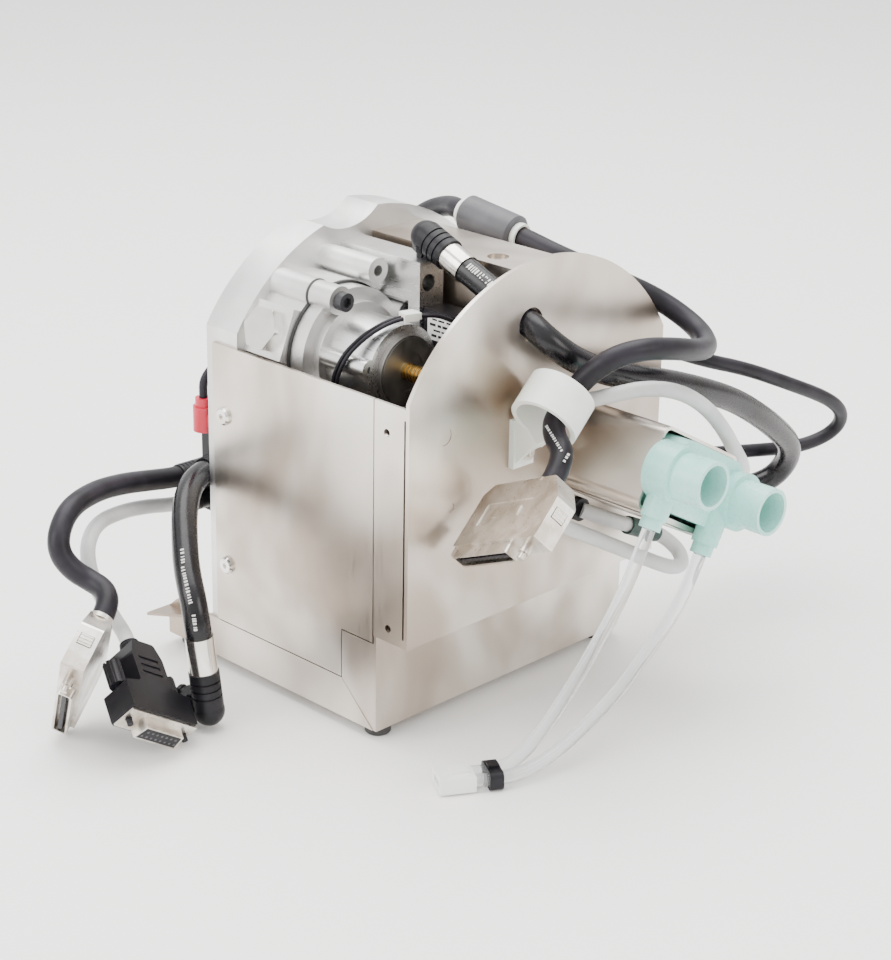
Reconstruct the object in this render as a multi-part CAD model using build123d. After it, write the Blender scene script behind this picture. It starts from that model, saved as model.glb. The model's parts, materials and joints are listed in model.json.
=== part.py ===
from build123d import *
import math
import os

# Ink cabinet of a date code inkjet printer, millimetres, +Z up, front towards -Y.
# The floor of the feet is z = 0 and the vertical plane x = 0 halves the housing.

# housing
WIDTH = 165.0
SHEET = 1.5
FRONT_Y = -42.0
FACE_T = 2.0
FACE_BOTTOM = 51.8
ARCH_Z = 118.0
ARCH_R = 94.5
TRAY_FRONT = -22.9
TRAY_REAR = 122.0
TRAY_BOTTOM = 5.0
TRAY_SIDE_TOP = 24.3
TAB_TOP = 47.8
PANEL_TOP = 161.7
PANEL_REAR = 85.0
SEAM = 0.5
STRIP_W = 18.0
EAR_TIP = 96.0
REAR_Y = 69.5
REAR_T = 21.0
REAR_ARCH_R = 95.5
FOOT_D = 12.0

# gear pump and motor
PUMP_X = -41.0
PUMP_Z = 159.0
CASE_R = 32.0
BARREL_R = 20.5
GEAR_CENTRES = 18.0
GEAR_TEETH = 12
TIP_R = 10.2
PITCH_R = 9.0
ROOT_R = 7.5
SHAFT_R = 4.0
RUN_FIT = 0.03
CAVITY_Y = 45.5
CAVITY_LEN = 14.0
FLANGE_T = 8.0
GASKET_T = 1.0
BUSH_R = 6.0
BUSH_LEN = 6.0

# ink manifold, hoses and cables
HOSE_D = 12.0
CABLE_D = 10.0
GREY_D = 7.0
CLEAR_D = 6.0
LEAD_D = 1.8
BORE_R = 9.2
SOCKET_R = 11.0
COLLAR_R = 13.5
MOUTH_Y = -122.0
SOCKET_PITCH = 50.2
SHROUD_LEN = 50.0

# connectors
HOOD_DEPTH = 33.0
HOOD_T = 10.5
PLAY = 0.3

HALF = WIDTH / 2
INNER = HALF - SHEET
FACE_BACK = FRONT_Y + FACE_T
REAR_BACK = REAR_Y + REAR_T
os.makedirs("parts", exist_ok=True)
done = []


def save(name, *solids):
    shape = solids[0] if len(solids) == 1 else Compound(children=list(solids))
    export_step(shape, f"parts/{name}.step")
    done.append(name)


def box(x0, x1, y0, y1, z0, z1):
    return Pos((x0 + x1) / 2, (y0 + y1) / 2, (z0 + z1) / 2) * Box(x1 - x0, y1 - y0, z1 - z0)


def rod(start, end, r):
    a, b = Vector(*start), Vector(*end)
    plane = Plane(origin=a, z_dir=b - a)
    return plane * Cylinder(r, (b - a).length, align=(Align.CENTER, Align.CENTER, Align.MIN))


def rod_y(x, z, y0, y1, r):
    return rod((x, y0, z), (x, y1, z), r)


def rod_x(y, z, x0, x1, r):
    return rod((x0, y, z), (x1, y, z), r)


def rod_z(x, y, z0, z1, r):
    return rod((x, y, z0), (x, y, z1), r)


def plate_y(points, y0, y1):
    """Outline in X and Z, as thick as y0 to y1."""
    plane = Plane(origin=(0, y1, 0), x_dir=(1, 0, 0), z_dir=(0, -1, 0))
    return extrude(plane * Polygon(*points, align=None), amount=y1 - y0, dir=(0, -1, 0))


def plate_x(points, x0, x1):
    """Outline in Y and Z, as thick as x0 to x1."""
    plane = Plane(origin=(x0, 0, 0), x_dir=(0, 1, 0), z_dir=(1, 0, 0))
    return extrude(plane * Polygon(*points, align=None), amount=x1 - x0, dir=(1, 0, 0))


def plate_z(points, z0, z1):
    """Outline in X and Y, as thick as z0 to z1."""
    outline = Plane(origin=(0, 0, z0)) * Polygon(*points, align=None)
    return extrude(outline, amount=z1 - z0, dir=(0, 0, 1))


def mirrored(shape):
    return mirror(shape, about=Plane.YZ)


def socket_screw(plane, r, height, recess=1.4):
    """Cap head standing on the plane, with a hexagon socket."""
    head = Cylinder(r, height, align=(Align.CENTER, Align.CENTER, Align.MIN))
    key = extrude(Plane(origin=(0, 0, height - recess)) * RegularPolygon(r * 0.58, 6), amount=recess + 1)
    return plane * (head - key)


def tube(points, diameter):
    """Round bar along the points, each corner eased by a tangent arc, and its length."""
    route = [Vector(*p) for p in points]
    radii = []
    for a, b, c in zip(route, route[1:], route[2:]):
        before, after = b - a, c - b
        half_turn = math.radians(before.get_angle(after)) / 2
        radii.append(0.45 * min(before.length, after.length) / math.tan(half_turn))
    path = FilletPolyline(*route, radius=radii)
    section = Plane(origin=route[0], z_dir=route[1] - route[0]) * Circle(diameter / 2)
    return sweep(section, path=path), path.length


def cord(name, points, diameter):
    body, length = tube(points, diameter)
    ideal = math.pi * diameter ** 2 / 4 * length
    print(name, "length %.1f" % length, "volume ratio %.4f" % (body.volume / ideal))
    save(name, body)


# ---------------------------------------------------------------- tray and sheets
def arch(radius, half_width, bottom, y0, y1):
    """Upright plate with straight sides running up into a round top."""
    block = box(-half_width, half_width, y0, y1, bottom, ARCH_Z + radius + 1)
    round_top = rod_y(0, ARCH_Z, y0, y1, radius) + box(-radius, radius, y0, y1, bottom, ARCH_Z)
    return block & round_top


tray_in = TRAY_BOTTOM + SHEET
floor_points = [(-HALF, TRAY_FRONT), (HALF, TRAY_FRONT), (HALF, TRAY_REAR), (-HALF, TRAY_REAR)]
tray = plate_z(floor_points, TRAY_BOTTOM, tray_in)
tray += box(-HALF, HALF, TRAY_FRONT, TRAY_FRONT + SHEET, TRAY_BOTTOM, FACE_BOTTOM)
side_outline = [
    (TRAY_FRONT, TRAY_BOTTOM), (TRAY_REAR, TRAY_BOTTOM), (TRAY_REAR, 19.0),
    (TRAY_REAR - 6, TRAY_SIDE_TOP), (TRAY_FRONT + 22, TRAY_SIDE_TOP),
    (TRAY_FRONT + 22, TAB_TOP), (TRAY_FRONT, TAB_TOP),
]
for side in (-1, 1):
    lo, hi = sorted((side * INNER, side * HALF))
    tray += plate_x(side_outline, lo, hi)
    ear_tip = side * EAR_TIP
    ear = [(side * INNER, TRAY_REAR - 20), (side * INNER, TRAY_REAR), (ear_tip, TRAY_REAR)]
    tray += plate_z(ear, 18.0, 18.0 + SHEET)
    groove_x = side * (HALF - 0.4)
    lo, hi = sorted((groove_x, side * (HALF + 1)))
    groove = [
        (TRAY_FRONT, TRAY_BOTTOM - 1), (TRAY_FRONT + 1, TRAY_BOTTOM - 1),
        (TRAY_FRONT + 22, TRAY_SIDE_TOP - 0.8), (TRAY_FRONT + 22, TRAY_SIDE_TOP + 0.4),
        (TRAY_FRONT + 21.2, TRAY_SIDE_TOP + 0.4), (TRAY_FRONT - 0.5, TRAY_BOTTOM + 0.4),
    ]
    tray -= plate_x(groove, lo, hi)
feet_at = [(sx * 74.0, y) for sx in (-1, 1) for y in (TRAY_FRONT + 7.4, TRAY_REAR - 8.5)]
for x, y in feet_at:
    tray -= rod_z(x, y, TRAY_BOTTOM - 1, tray_in + 1, 2.1)
save("base_tray", tray)

feet = []
foot_screws = []
for x, y in feet_at:
    pad = rod_z(x, y, 0, TRAY_BOTTOM, FOOT_D / 2)
    pad = chamfer(pad.edges().sort_by(Axis.Z)[:1], 0.8)
    pad -= rod_z(x, y, 0, 2.2, 3.8)
    pad -= rod_z(x, y, 0, TRAY_BOTTOM, 2.1)
    feet.append(pad)
    screw = rod_z(x, y, 0.8, 2.2, 3.6) + rod_z(x, y, 2.2, tray_in + 3.4, 1.9)
    nut = Pos(x, y, tray_in) * extrude(RegularPolygon(3.8, 6), amount=2.6)
    foot_screws.append(screw + nut)
save("feet", *feet)
save("foot_screws", *foot_screws)

STRIP_START = FACE_BACK + 1.0
STRIP_END = STRIP_START + STRIP_W
panel_outline = [
    (STRIP_END + SEAM, TAB_TOP + SEAM), (TRAY_FRONT + 22 + SEAM, TAB_TOP + SEAM),
    (TRAY_FRONT + 22 + SEAM, TRAY_SIDE_TOP + SEAM), (PANEL_REAR, TRAY_SIDE_TOP + SEAM),
    (PANEL_REAR, PANEL_TOP), (STRIP_END + SEAM, PANEL_TOP),
]
screw_spots = [(77.5, 128.2), (77.0, 54.6)]
left_panel = plate_x(panel_outline, -HALF, -INNER)
for y, z in screw_spots:
    left_panel -= rod_x(y, z, -HALF - 1, -INNER + 1, 2.1)
right_panel = mirrored(left_panel)
glands_right = [(-4.0, 68.0, HOSE_D), (2.0, 150.0, GREY_D), (-4.0, 84.0, GREY_D)]
save("left_panel", left_panel)
save("right_panel", right_panel)

panel_screws = []
for side in (-1, 1):
    for y, z in screw_spots:
        face = Plane(origin=(side * HALF, y, z), z_dir=(side, 0, 0))
        button = face * Cylinder(4.25, 2.0, align=(Align.CENTER, Align.CENTER, Align.MIN))
        button = chamfer(button.edges().group_by(Axis.X)[0 if side < 0 else -1], 0.9)
        button -= rod_x(y, z, side * (HALF + 1.0), side * (HALF + 3), 1.3)
        panel_screws.append(button + rod_x(y, z, side * HALF, side * (INNER - 8), 1.9))

face = arch(ARCH_R, HALF, FACE_BOTTOM, FRONT_Y, FACE_BACK)
HOSE_X, HOSE_Z = -9.0, 184.0
face -= rod_y(HOSE_X, HOSE_Z, FRONT_Y - 1, FACE_BACK + 1, HOSE_D / 2 + 1.5)
face -= rod_y(-61.2, 145.1, FRONT_Y - 1, FRONT_Y + 0.3, 4.0)
face -= rod_y(-56.8, 111.4, FRONT_Y - 1, FRONT_Y + 0.4, 2.2)
face += box(-HALF, HALF, FACE_BACK, TRAY_FRONT, FACE_BOTTOM, FACE_BOTTOM + SHEET)
for side in (-1, 1):
    lo, hi = sorted((side * INNER, side * HALF))
    strip = box(lo, hi, STRIP_START, STRIP_END, FACE_BOTTOM, PANEL_TOP)
    for z0, z1 in ((FACE_BOTTOM, FACE_BOTTOM + 4), (PANEL_TOP - 5, PANEL_TOP)):
        strip += box(lo, hi, FACE_BACK - 0.2, STRIP_START, z0, z1)
    for y, z in ((-28.6, 148.6), (-30.2, 58.3)):
        strip -= rod_x(y, z, lo - 1, hi + 1, 1.75)
    face += strip
save("face_plate", face)

rear = arch(REAR_ARCH_R, INNER, tray_in, REAR_Y, REAR_BACK)
SCALLOP_R = 29.0
rear -= rod_y(-14, ARCH_Z + REAR_ARCH_R + 21, REAR_Y - 1, REAR_BACK + 1, SCALLOP_R)
for sx in (-1, 1):
    for y, z in screw_spots:
        lo, hi = sorted((sx * (INNER - 9), sx * (INNER + 1)))
        rear -= rod_x(y, z, lo, hi, 1.9)
FIX_X, FIX_Z, FIX_DX, FIX_DZ, FIX_R = 0.0, 66.0, 130.0, 88.0, 2.1
for dx in (-1, 1):
    for dz in (-1, 1):
        rear -= rod_y(FIX_X + dx * FIX_DX / 2, FIX_Z + dz * FIX_DZ / 2, REAR_BACK - 16, REAR_BACK + 1, FIX_R)
POST_X, POST_Z = -25.5, 194.3
post = rod_y(POST_X, POST_Z, REAR_Y - 33, REAR_Y + 1, 6.0)
rear += post - rod_y(POST_X, POST_Z, REAR_Y - 34, REAR_Y - 15, 2.6)
save("rear_plate", rear)

cover_in = [(3, 150), (3, 201), (34, 201), (72, 168), (79.8, 161), (79.8, 140)]
COVER_T = 1.2
cover_path = Plane(origin=(0, REAR_Y, 0), x_dir=(1, 0, 0), z_dir=(0, -1, 0))
cover_line = Polyline(*[(x, z) for x, z in cover_in])
cover_wall = offset(cover_line, amount=-COVER_T / 2, side=Side.BOTH, kind=Kind.INTERSECTION)
inner_cover = extrude(cover_path * make_face(cover_wall), amount=REAR_Y - FACE_BACK, dir=(0, -1, 0))
inner_cover -= rod_z(13.0, -1.0, 195, 210, 5.0)
inner_cover -= rod_z(50.0, 12.5, 180, 210, 1.4)
cup = rod_z(13.0, -1.0, 198.6, 201.6, 6.6) - rod_z(13.0, -1.0, 199.6, 202, 5.0)
inner_cover += cup
save("inner_cover", inner_cover)

# ---------------------------------------------------------------- ink manifold block
LOBE_START = 25


def polar(radius, degrees):
    """Point around the pump axis, in X and Z."""
    angle = math.radians(degrees)
    return PUMP_X + radius * math.cos(angle), PUMP_Z + radius * math.sin(angle)


block = box(-17, -2, 18.5, REAR_Y, 160, 200)
block -= rod_y(-11.5, 190, 17, 34, 4.0)
ELBOW = Vector(-6.0, 25.5, 209.0)
ARM = Vector(-0.04, -0.937, -0.35).normalized()
block -= rod(ELBOW, ELBOW + ARM * 20, 7.9)
block -= rod_y(PUMP_X, PUMP_Z, 25.6, REAR_Y + 1, CASE_R + 0.6)
block -= rod_y(*polar(CASE_R - 0.5, LOBE_START), 25.6, REAR_Y + 1, 7.5)
save("manifold_block", block)
elbow = rod_z(-7, 24.5, 200, 207.5, 4.6) + Pos(*ELBOW) * Sphere(7.2)
elbow += Pos(-7, 24.5, 203.0) * extrude(RegularPolygon(6.6, 6), amount=2.6)
elbow += rod(ELBOW, ELBOW + ARM * 16, 7.5)
for k in range(3):
    at = 5 + 3.6 * k
    elbow -= rod(ELBOW + ARM * at, ELBOW + ARM * (at + 0.9), 9) - rod(ELBOW, ELBOW + ARM * 18, 6.9)
save("manifold_elbow", elbow)
FERRULE_END = ELBOW + ARM * 28
save("elbow_ferrule", rod(ELBOW + ARM * 16, FERRULE_END, 6.6))

# ---------------------------------------------------------------- pump
case_end = REAR_Y
case = rod_y(PUMP_X, PUMP_Z, CAVITY_Y, case_end, CASE_R)
lobe_angles = [LOBE_START + 90 * k for k in range(4)]
for degrees in lobe_angles:
    x, z = polar(CASE_R - 0.5, degrees)
    case += rod_y(x, z, CAVITY_Y, case_end, 7.0)
BOSS_ANGLE = 158.0
bx, bz = math.cos(math.radians(BOSS_ANGLE)), math.sin(math.radians(BOSS_ANGLE))
boss_plane = Plane(origin=(PUMP_X, 57.5, PUMP_Z), x_dir=(0, 1, 0), z_dir=(bx, 0, bz))
case += boss_plane * Pos(0, 0, 24) * Box(24, 24, 20)
case &= box(-INNER - 0.5, 40, CAVITY_Y, case_end, 100, 220)
GEAR_AT = [(PUMP_X, PUMP_Z), (PUMP_X, PUMP_Z - GEAR_CENTRES)]
cavity = [rod_y(x, z, CAVITY_Y - 0.1, CAVITY_Y + CAVITY_LEN, TIP_R + PLAY) for x, z in GEAR_AT]
bush_back = CAVITY_Y + CAVITY_LEN
for x, z in GEAR_AT:
    case -= rod_y(x, z, bush_back - 0.1, bush_back + BUSH_LEN, BUSH_R)
case -= cavity[0] + cavity[1]
case -= boss_plane * Pos(0, 0, 29) * Cylinder(6.5, 10.2)
save("pump_gearcase", case)
plug = boss_plane * Pos(0, 0, 24) * Cylinder(6.5, 10, align=(Align.CENTER, Align.CENTER, Align.MIN))
hexagon = Pos(0, 0, 34) * extrude(RegularPolygon(9 / math.cos(math.pi / 6), 6), amount=6)
hexagon &= Pos(0, 0, 33) * Cone(17, 9.6, 7.6, align=(Align.CENTER, Align.CENTER, Align.MIN))
save("hex_plug", plug + boss_plane * hexagon)

flange_back = CAVITY_Y - GASKET_T
flange_front = flange_back - FLANGE_T
gasket = rod_y(PUMP_X, PUMP_Z, flange_back, CAVITY_Y, CASE_R - 0.4)
flange = rod_y(PUMP_X, PUMP_Z, flange_front, flange_back, CASE_R - 1.5)
SCREW_FRONT = flange_front - 6.0
pump_screws = []
for degrees in lobe_angles:
    x, z = polar(CASE_R - 0.5, degrees)
    gasket += rod_y(x, z, flange_back, CAVITY_Y, 6.8)
    flange += rod_y(x, z, SCREW_FRONT, flange_back, 6.5)
    pump_screws.append(socket_screw(Plane(origin=(x, SCREW_FRONT, z), z_dir=(0, -1, 0)), 4.25, 4.5, 2.2))
gasket -= cavity[0] + cavity[1]
gasket -= rod_y(PUMP_X, PUMP_Z, flange_back - 1, CAVITY_Y, TIP_R + PLAY)
gasket -= rod_y(PUMP_X, PUMP_Z - GEAR_CENTRES, flange_back - 1, CAVITY_Y, TIP_R + PLAY)
HUB_FRONT = flange_front - 4.0
flange += rod_y(PUMP_X, PUMP_Z, HUB_FRONT, flange_front, 24.5)
bush_front = flange_back - 1.5 - BUSH_LEN
for x, z in GEAR_AT:
    flange -= rod_y(x, z, bush_front, flange_back + 1, BUSH_R)
flange -= rod_y(PUMP_X, PUMP_Z, HUB_FRONT - 1, flange_back, SHAFT_R + 1)
save("pump_gasket", gasket)
save("pump_flange", flange)

CAP_BACK = 4.5
CAP_FRONT = 1.5
barrel = rod_y(PUMP_X, PUMP_Z, CAP_BACK, HUB_FRONT, BARREL_R)
for degrees in (168, -12):
    x, z = polar(BARREL_R - 0.2, degrees)
    barrel += rod_y(x, z, CAP_BACK, HUB_FRONT, 4.5) - rod_y(x, z, CAP_BACK - 1, CAP_BACK + 14, 1.7)
barrel -= rod_y(PUMP_X, PUMP_Z, CAP_BACK - 1, HUB_FRONT + 1, 15.5)
save("motor_barrel", barrel)
save("pump_screws", *pump_screws)
cap = rod_y(PUMP_X, PUMP_Z, CAP_FRONT, CAP_BACK, 16.0)
cap -= rod_y(PUMP_X, PUMP_Z, CAP_BACK - 2.0, CAP_BACK + 1, SHAFT_R + RUN_FIT)
save("motor_end_cap", cap)
brass = rod_y(PUMP_X, PUMP_Z, CAP_FRONT - 12, CAP_FRONT, 4.0)
for k in range(5):
    at = CAP_FRONT - 10.5 + 2 * k
    brass -= rod_y(PUMP_X, PUMP_Z, at, at + 0.8, 5) - rod_y(PUMP_X, PUMP_Z, -20, 10, 3.4)
brass += rod_y(PUMP_X, PUMP_Z, CAP_FRONT - 20, CAP_FRONT - 12, 2.75)
save("brass_fitting", brass)


def gear(x, z, phase):
    """Spur gear profile, one tooth centred on the phase angle."""
    points = []
    for k in range(GEAR_TEETH):
        centre = math.radians(phase + 360 / GEAR_TEETH * k)
        flank = [(ROOT_R, -1.35), (PITCH_R, -0.95), (TIP_R, -0.5), (TIP_R, 0.5), (PITCH_R, 0.95), (ROOT_R, 1.35)]
        for radius, half in flank:
            angle = centre + half / radius
            points.append((x + radius * math.cos(angle), z + radius * math.sin(angle)))
    return plate_y(points, CAVITY_Y + PLAY, CAVITY_Y + CAVITY_LEN - PLAY)


SHAFT_REAR = bush_back + BUSH_LEN - 0.5
drive = gear(PUMP_X, PUMP_Z, -90) + rod_y(PUMP_X, PUMP_Z, CAP_BACK - 1.4, SHAFT_REAR, SHAFT_R)
driven = gear(PUMP_X, PUMP_Z - GEAR_CENTRES, 90 + 180 / GEAR_TEETH)
driven += rod_y(PUMP_X, PUMP_Z - GEAR_CENTRES, bush_front + 0.5, SHAFT_REAR, SHAFT_R)
save("drive_shaft", drive)
save("driven_gear", driven)
bushes = []
for x, z in GEAR_AT:
    for start in (bush_front, bush_back):
        ring = rod_y(x, z, start, start + BUSH_LEN, BUSH_R)
        bushes.append(ring - rod_y(x, z, start - 1, start + BUSH_LEN + 1, SHAFT_R + RUN_FIT))
save("pump_bearings", *bushes)
rotor = rod_y(PUMP_X, PUMP_Z, 9.5, 29.5, 14.0)
for k in range(6):
    x, z = polar(14.0, 60 * k)
    rotor -= rod_y(x, z, 9, 30, 1.2)
save("motor_rotor", rotor - rod_y(PUMP_X, PUMP_Z, 9, 30, SHAFT_R))

# ---------------------------------------------------------------- valve
VALVE_X, VALVE_Y = -8.6, -4.0
PLUNGER_R = 2.5
coil = box(-15, -2.2, -14.5, 18.5, 146, 179)
coil = fillet(coil.edges().filter_by(Axis.Z), 1.2)
coil -= rod_z(VALVE_X, VALVE_Y, 145, 172, PLUNGER_R + PLAY)
save("valve_coil", coil)
save("valve_plunger", rod_z(VALVE_X, VALVE_Y, 139, 160, PLUNGER_R) + rod_z(VALVE_X, VALVE_Y, 137, 139, 3.6))
SPRING_TOP = 172.0
SPRING_R = 1.7
WIRE_R = 0.35
helix = Helix(pitch=(SPRING_TOP - 160) / 6, height=SPRING_TOP - 160 - 2 * WIRE_R, radius=SPRING_R)
wire_section = Plane(origin=helix @ 0, z_dir=helix % 0) * Circle(WIRE_R)
save("valve_spring", Pos(VALVE_X, VALVE_Y, 160 + WIRE_R) * sweep(wire_section, path=helix))

# ---------------------------------------------------------------- cable clamp on the face plate
RING = Vector(-16.0, -62.5, 152.7)
RING_AXIS = Vector(0.795, 0.117, 0.592).normalized()
RING_R, RING_IN, RING_W = 15.5, 13.0, 18.0
ring_start, ring_stop = RING - RING_AXIS * (RING_W / 2), RING + RING_AXIS * (RING_W / 2)
clamp = rod(ring_start, ring_stop, RING_R)
clamp += box(-21, -8, FRONT_Y - 3, FRONT_Y, 120.5, 143)
web = plate_x([(FRONT_Y - 2, 122), (FRONT_Y - 2, 148), (FRONT_Y - 14, 150), (FRONT_Y - 20, 140)], -20, -11)
clamp += web
clamp -= rod(RING - RING_AXIS * 20, RING + RING_AXIS * 20, RING_IN)
clamp -= rod_y(-13.7, 127.1, FRONT_Y - 22, FRONT_Y - 3, 4.3)
save("cable_clamp", clamp)
clamp_screw = socket_screw(Plane(origin=(-13.7, FRONT_Y - 3, 127.1), z_dir=(0, -1, 0)), 3.6, 2.6, 1.4)
panel_screws.append(clamp_screw)

# ---------------------------------------------------------------- shroud and double socket
U = Vector(0.875, 0, -0.485).normalized()
SHROUD_AT = Vector(43.9, FRONT_Y, 110.6)
shroud_plane = Plane(origin=SHROUD_AT, x_dir=U, z_dir=(0, -1, 0))
SHROUD_W, SHROUD_H, SHROUD_WALL = 62.0, 39.0, 1.5
outer = RectangleRounded(SHROUD_W, SHROUD_H, 5)
hollow = RectangleRounded(SHROUD_W - 2 * SHROUD_WALL, SHROUD_H - 2 * SHROUD_WALL, 3.5)
shroud = extrude(shroud_plane * (outer - hollow), amount=SHROUD_LEN)
lip = shroud_plane * Pos(0, -SHROUD_H / 2 - 0.6, SHROUD_LEN / 2) * Box(50, 2.4, SHROUD_LEN)
shroud += lip - shroud_plane * Pos(0, -SHROUD_H / 2 - 1.2, SHROUD_LEN / 2) * Box(52, 0.4, SHROUD_LEN + 2)
for sx in (-1, 1):
    tab = shroud_plane * Pos(sx * (SHROUD_W / 2 + 4.5), 0, 1) * Box(10, 16, 2)
    tab_hole = shroud_plane * Pos(sx * (SHROUD_W / 2 + 5.5), 0, 1) * Cylinder(1.6, 4)
    shroud += tab - tab_hole
    tab_at = SHROUD_AT + U * (sx * (SHROUD_W / 2 + 5.5)) + Vector(0, -2, 0)
    panel_screws.append(socket_screw(Plane(origin=tab_at, z_dir=(0, -1, 0)), 2.8, 2.0, 1.0))
save("shroud", shroud)
save("panel_screws", *panel_screws)

SOCKETS_AT = Vector(44.4, 0, 110.9)
V = Vector(U.Z, 0, -U.X)
NUB_Y = -98.6
body_plane = Plane(origin=(SOCKETS_AT.X, -66, SOCKETS_AT.Z), x_dir=U, z_dir=(0, -1, 0))
manifold = extrude(body_plane * RectangleRounded(54, 33, 9), amount=34)
socket_centres = [SOCKETS_AT + U * (side * SOCKET_PITCH / 2) for side in (-1, 1)]
for c in socket_centres:
    manifold += rod_y(c.X, c.Z, -106, -92.6, COLLAR_R)
    manifold += rod_y(c.X, c.Z, MOUTH_Y, -105, SOCKET_R)
manifold += Plane(origin=(SOCKETS_AT.X, -96.5, SOCKETS_AT.Z), x_dir=U, z_dir=(0, -1, 0)) * Box(50, 22, 7)
nub_ends = []
for along, reach in ((-25.7, 26.7), (18.2, 28.6)):
    top = SOCKETS_AT + U * along + Vector(0, NUB_Y, 0)
    tip = top + V * reach
    manifold += rod(top + V * 6, tip - V * 5, 6.2) + rod(tip - V * 6, tip, 5.0)
    nub_ends.append(tip)
for c in socket_centres:
    manifold -= rod_y(c.X, c.Z, MOUTH_Y - 1, MOUTH_Y + 26, BORE_R)
save("socket_manifold", manifold)

# ---------------------------------------------------------------- clear tubes and their end
END_AT = Vector(-80.0, -80.5, 4.5)
END_AXIS = Vector(-0.86, 0.51, 0).normalized()
END_SIDE = Vector(0.51, 0.86, 0).normalized()


def xyz(v):
    return (v.X, v.Y, v.Z)


tube_ends = [END_AT + END_SIDE * 3.7, END_AT - END_SIDE * 3.7]
near_route = [(5, -97, 88), (-3, -96, 72), (-15, -94, 54), (-30, -93, 37), (-45, -91, 21), (-56, -88, 10)]
far_route = [
    (42, -97, 64), (32, -96, 50), (16, -95, 36), (-4, -96, 24), (-25, -96, 15), (-44, -95.5, 8.5), (-59, -94, 5.5),
]
near_route = [xyz(nub_ends[0])] + near_route + [xyz(tube_ends[0] - END_AXIS * 14), xyz(tube_ends[0])]
far_route = [xyz(nub_ends[1])] + far_route + [xyz(tube_ends[1] - END_AXIS * 14), xyz(tube_ends[1])]
cord("clear_tube_left", near_route, CLEAR_D)
cord("clear_tube_right", far_route, CLEAR_D)
end_plane = Plane(origin=END_AT, x_dir=END_SIDE, z_dir=END_AXIS)
tie = end_plane * Pos(0, 0, -9) * Box(15.5, 8.4, 6)
tie = fillet(tie.edges().filter_by(Axis(END_AT, END_AXIS)), 2.5)
tie += end_plane * Pos(0, -4.4, -9) * Box(4, 2, 5)
for e in tube_ends:
    tie -= rod(e - END_AXIS * 13, e, CLEAR_D / 2)
save("tube_tie", tie)
connector = end_plane * Pos(0, 0, 8) * Box(14, 7, 16)
connector -= end_plane * Pos(0, 0, 15) * Box(9, 3, 4)
connector += end_plane * Pos(0, -3.9, 6) * Box(5, 1.2, 8)
save("tube_connector", connector)


# ---------------------------------------------------------------- half pitch connectors
def oriented(origin, long_axis, back_axis):
    back = Vector(*back_axis).normalized()
    across = Vector(*long_axis)
    across = (across - back * across.dot(back)).normalized()
    return Plane(origin=origin, x_dir=across, z_dir=back)


def hood_parts(plane, entry_x, hood_name, insulator_name, latch_name):
    """Die cast hood with its plug face at the plane and the cable out of the back."""
    outline = [
        (-31, 0), (31, 0), (31, HOOD_DEPTH - 12), (20, HOOD_DEPTH), (-26, HOOD_DEPTH), (-31, HOOD_DEPTH - 5),
    ]
    upright = Plane(origin=(0, HOOD_T / 2, 0), x_dir=(1, 0, 0), z_dir=(0, -1, 0))
    hood = extrude(upright * Polygon(*outline, align=None), amount=HOOD_T)
    hood = chamfer(hood.edges().filter_by(Axis.Y), 0.6)
    shell = extrude(Plane(origin=(-8.5, 0, -5)) * RectangleRounded(41, 7.2, 1.5), amount=6)
    shell -= extrude(Plane(origin=(-8.5, 0, -6)) * RectangleRounded(39, 5.2, 1.0), amount=5)
    hood += shell
    hood -= Pos(-4, -HOOD_T / 2, 16) * Box(36, 1.0, 12)
    hood += Pos(-4, -HOOD_T / 2 + 0.3, 16) * Box(20, 0.9, 5)
    hood -= Pos(-31, 0, 14) * Box(1.4, 5, 16)
    hood -= Pos(27, 0, 14) * Box(10, 6 + 2 * PLAY, 5 + 2 * PLAY)
    hood += Pos(20, 0, -2) * Cylinder(2.4, 4.2)
    hood += Pos(20, 0, -5) * Cylinder(1.5, 4)
    hood += Pos(-31.0, 0, -1) * Box(3, 4, 4)
    hood += Pos(entry_x, 0, HOOD_DEPTH - 1) * Cylinder(5.6, 2.0)
    save(hood_name, plane * hood)
    bar = Pos(-8.5, 0, -2.75) * Box(36, 2.2, 3.5)
    for k in range(12):
        for sy in (-1, 1):
            bar -= Pos(-25 + 3 * k, sy * 1.1, -3.5) * Box(1.2, 0.5, 4)
    save(insulator_name, plane * bar)
    latch = Pos(27.7, 0, 14) * Box(7.2, 6, 5)
    for k in range(3):
        latch -= Pos(31.3, 0, 12.4 + 1.6 * k) * Box(0.6, 7, 0.6)
    save(latch_name, plane * latch)


FRONT_ENTRY, REAR_ENTRY = 9.0, 17.0
front_plane = oriented((-66.0, -80.5, 107.0), (-0.166, -0.899, 0.403), (0.795, 0.117, 0.592))
rear_plane = oriented((-188.4, 60.0, 29.2), (-0.299, -0.568, 0.766), (0.778, 0.306, 0.546))
hood_parts(front_plane, FRONT_ENTRY, "front_hood", "front_insulator", "front_latch")
hood_parts(rear_plane, REAR_ENTRY, "rear_hood", "rear_insulator", "rear_latch")
front_entry = front_plane.from_local_coords(Vector(FRONT_ENTRY, 0, HOOD_DEPTH))
rear_entry = rear_plane.from_local_coords(Vector(REAR_ENTRY, 0, HOOD_DEPTH))

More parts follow.
